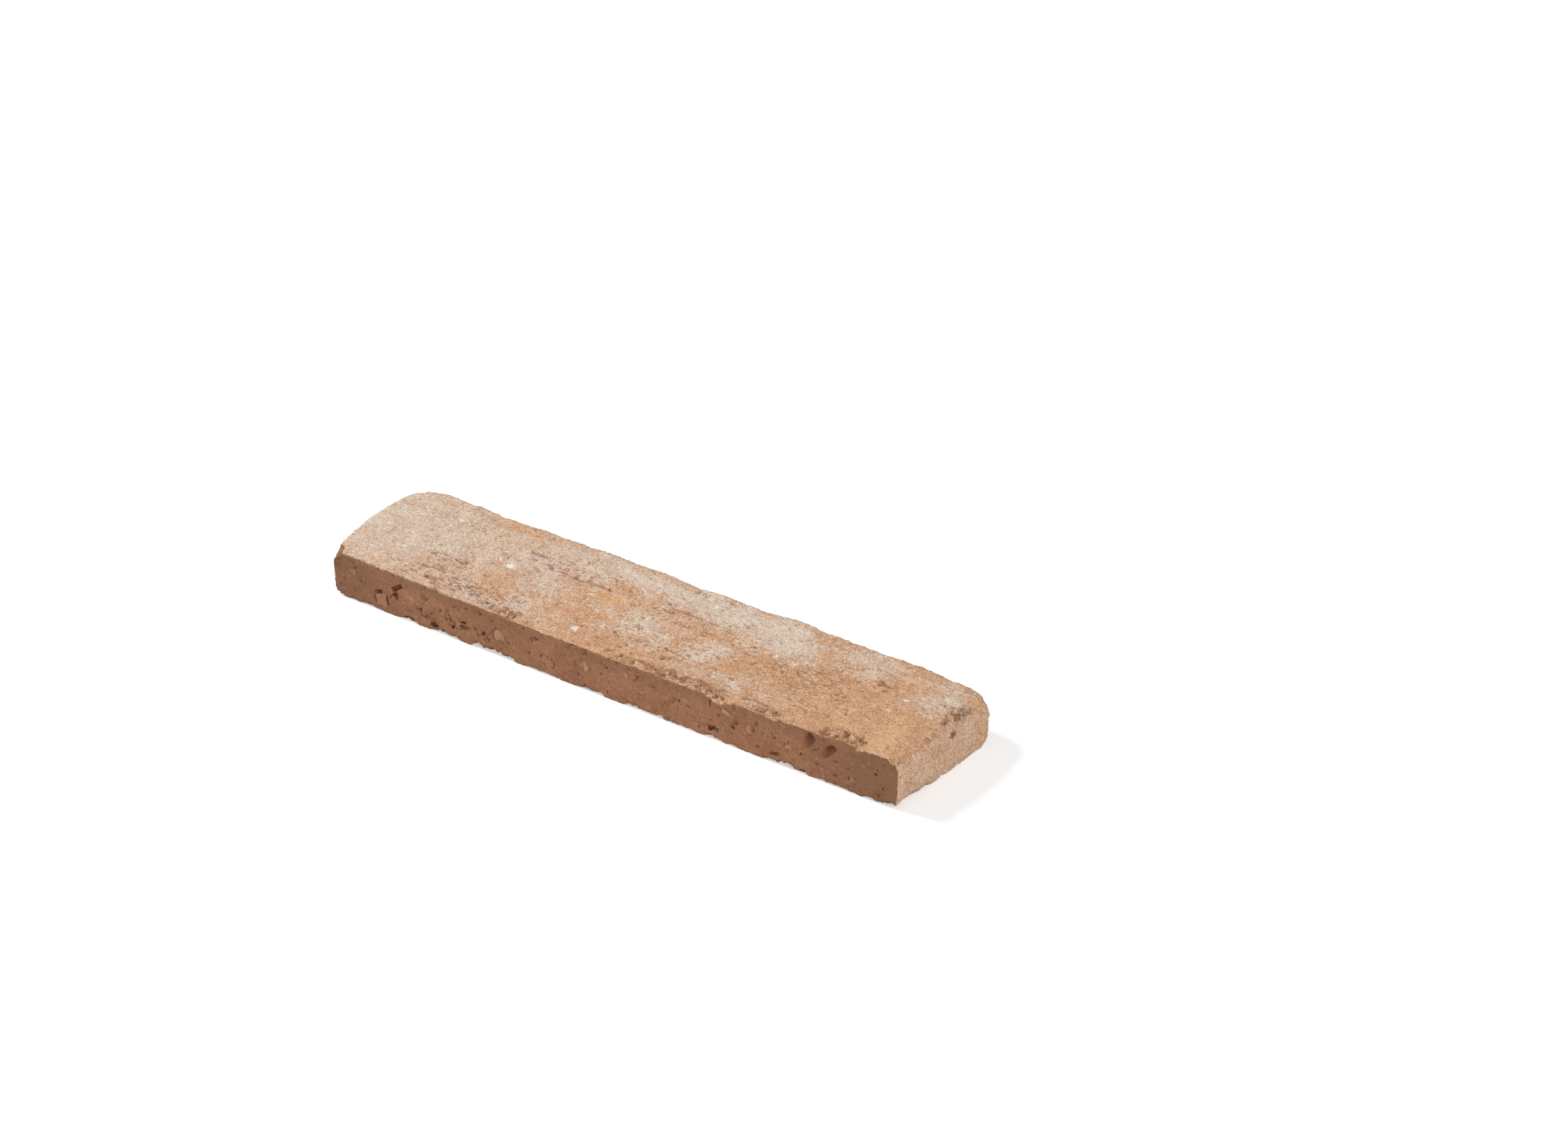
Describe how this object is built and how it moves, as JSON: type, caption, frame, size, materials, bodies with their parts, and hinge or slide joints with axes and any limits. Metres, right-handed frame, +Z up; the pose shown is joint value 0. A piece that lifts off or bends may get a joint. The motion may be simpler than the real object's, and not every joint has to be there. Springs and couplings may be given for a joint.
{
  "type": "brick slip",
  "caption": "Thin hand-moulded brick facing slip: sawn flat on its underside and one long side, with a weathered face and rounded moulded ends and back.",
  "frame": {"origin": "centre of the bounding box's underside, on the flat bonding face", "axes": "+X along the length, towards the squarer end; +Y from the sawn long side towards the moulded back; +Z up, out of the weathered face"},
  "size_m": [0.214, 0.0492, 0.0165],
  "materials": {
    "fired_clay": "rough fired clay, sandy and lime-bloomed on the weathered face, smooth-sawn and open-pored on the cut side"
  },
  "bodies": {
    "root": {"brick_slip": "fired_clay"}
  },
  "joints": []
}
